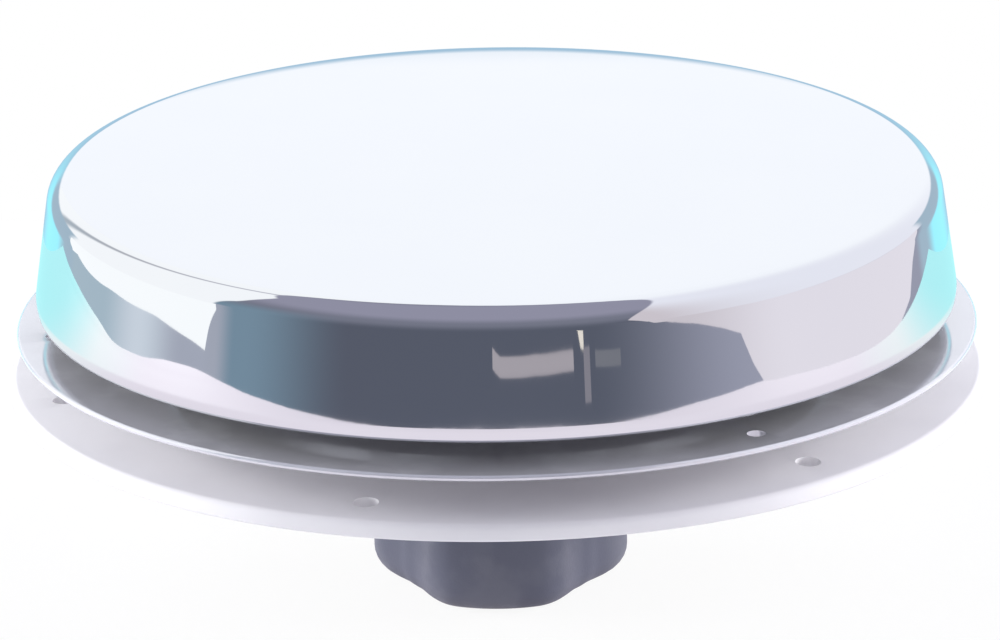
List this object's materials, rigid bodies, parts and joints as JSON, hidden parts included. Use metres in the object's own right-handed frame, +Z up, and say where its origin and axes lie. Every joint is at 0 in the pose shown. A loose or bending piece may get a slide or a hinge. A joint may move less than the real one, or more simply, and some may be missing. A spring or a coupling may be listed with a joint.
{
  "type": "closable deck ventilator",
  "caption": "Low mushroom ventilator for a deck: polished steel dome over a drain tray and a screw-down flange, raised and shut from below by a hand knob on a screw spindle.",
  "frame": {"origin": "on the axis, in the plane of the deck: the underside of the flange", "axes": "+Z up out of the deck along the axis, -Y towards the picture's viewer, +X to the right"},
  "size_m": [0.2, 0.2, 0.0891],
  "materials": {
    "polished_steel": "mirror polished sheet",
    "plain_steel": "satin",
    "brass": "turned",
    "pale_plastic": "moulded, satin",
    "black_rubber": "matt",
    "black_plastic": "moulded, fine grain"
  },
  "bodies": {
    "base": {"deck_flange": "pale_plastic", "throat_sleeve": "pale_plastic", "water_tray": "polished_steel", "tray_screw_1": "plain_steel", "tray_screw_2": "plain_steel", "tray_screw_3": "plain_steel", "spider": "plain_steel", "insect_screen": "plain_steel", "screen_ring": "plain_steel", "throat_screw_1": "plain_steel", "throat_screw_2": "plain_steel", "throat_screw_3": "plain_steel", "spindle_bush": "brass", "guide_pin_1": "plain_steel", "guide_pin_2": "plain_steel", "guide_pin_3": "plain_steel"},
    "dome": {"dome_cover": "polished_steel", "dome_boss": "plain_steel", "valve_plate": "plain_steel", "valve_seal": "black_rubber", "lift_nut": "brass", "plate_screw_1": "plain_steel", "plate_screw_2": "plain_steel", "plate_screw_3": "plain_steel"},
    "knob": {"hand_knob": "black_plastic", "knob_insert": "brass", "knob_pin": "plain_steel", "spindle": "plain_steel", "upper_washer": "brass", "lower_washer": "brass", "spindle_clip": "plain_steel"}
  },
  "joints": [
    {"name": "knob_turn", "type": "hinge", "parent": "base", "child": "knob", "pos_m": [0, 0, 0], "axis": [0, 0, 1], "range_deg": [-722, 566]},
    {"name": "dome_lift", "type": "slide", "parent": "base", "child": "dome", "axis": [0, 0, 1], "range_m": [-0.0047, 0.006]}
  ],
  "couplings": [
    {"joint": "knob_turn", "follows": "dome_lift", "rad_per_m": -2094.4}
  ]
}
